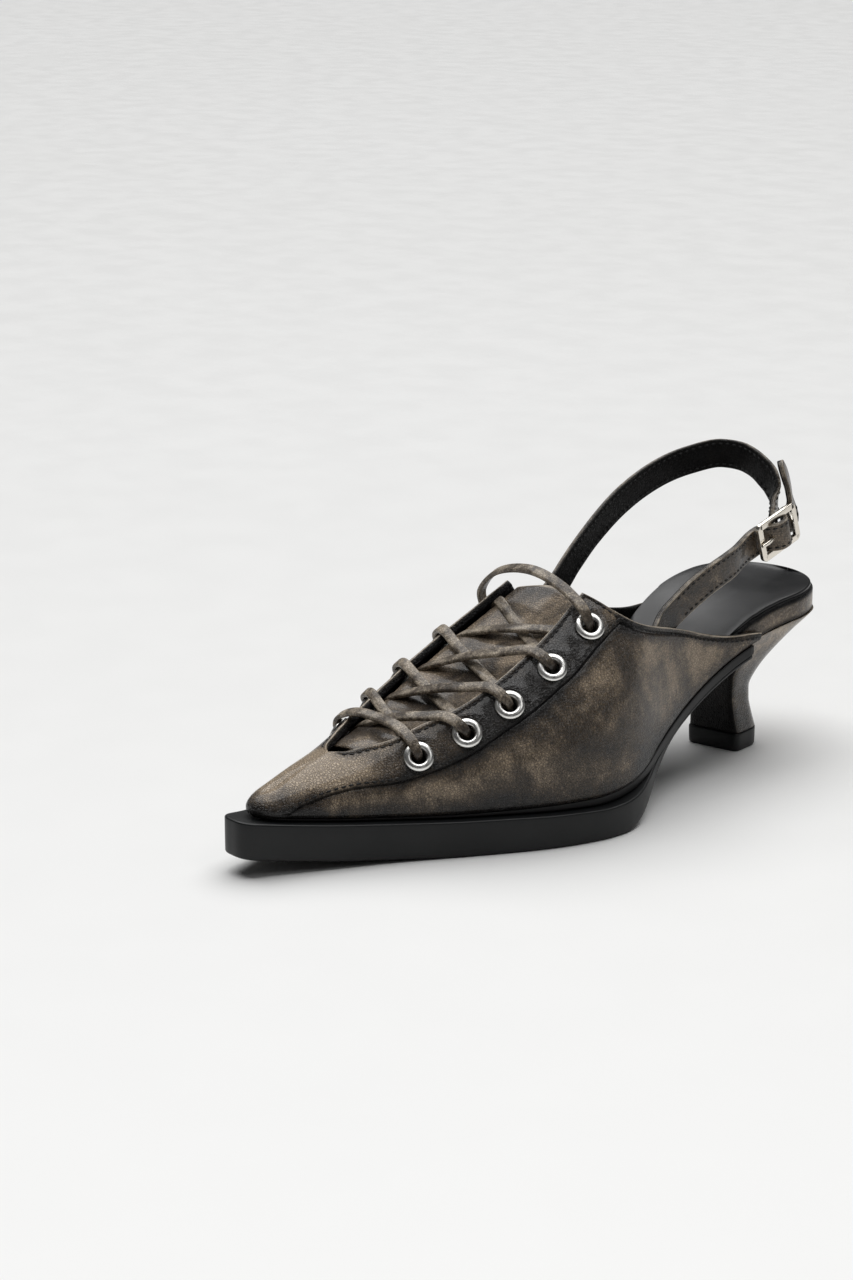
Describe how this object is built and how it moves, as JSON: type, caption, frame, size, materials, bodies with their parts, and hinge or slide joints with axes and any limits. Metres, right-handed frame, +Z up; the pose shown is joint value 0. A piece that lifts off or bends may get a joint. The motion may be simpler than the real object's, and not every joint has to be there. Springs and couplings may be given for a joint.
{
  "type": "lace up heel",
  "caption": "Left shoe of a womens pair: pointed-toe slingback with a low kitten heel, laced front and buckled heel strap, in bronze-brown leather.",
  "frame": {"origin": "on the floor under the middle of the shoe's bounding box", "axes": "-Y points to the toe, +X to the outer side of the foot, +Z up from the floor"},
  "size_m": [0.0896, 0.2676, 0.1117],
  "materials": {
    "leather": "satin",
    "sole_rubber": "satin",
    "sock_leather": "matte",
    "lace_leather": "satin",
    "nickel": "polished"
  },
  "bodies": {
    "root": {"billet_strap": "leather", "buckle_frame": "nickel", "buckle_prong": "nickel", "eyelet_lateral_1": "nickel", "eyelet_lateral_2": "nickel", "eyelet_lateral_3": "nickel", "eyelet_lateral_4": "nickel", "eyelet_lateral_5": "nickel", "eyelet_medial_1": "nickel", "eyelet_medial_2": "nickel", "eyelet_medial_3": "nickel", "eyelet_medial_4": "nickel", "eyelet_medial_5": "nickel", "footbed": "leather", "heel_block": "leather", "heel_top_piece": "sole_rubber", "lace_bar_bottom": "lace_leather", "lace_bar_top": "lace_leather", "lace_cross_1": "lace_leather", "lace_cross_2": "lace_leather", "lace_cross_3": "lace_leather", "lace_cross_4": "lace_leather", "midsole": "sole_rubber", "outsole": "sole_rubber", "sling_strap": "leather", "sock_lining": "sock_leather", "tongue": "leather", "upper": "leather"}
  },
  "joints": []
}
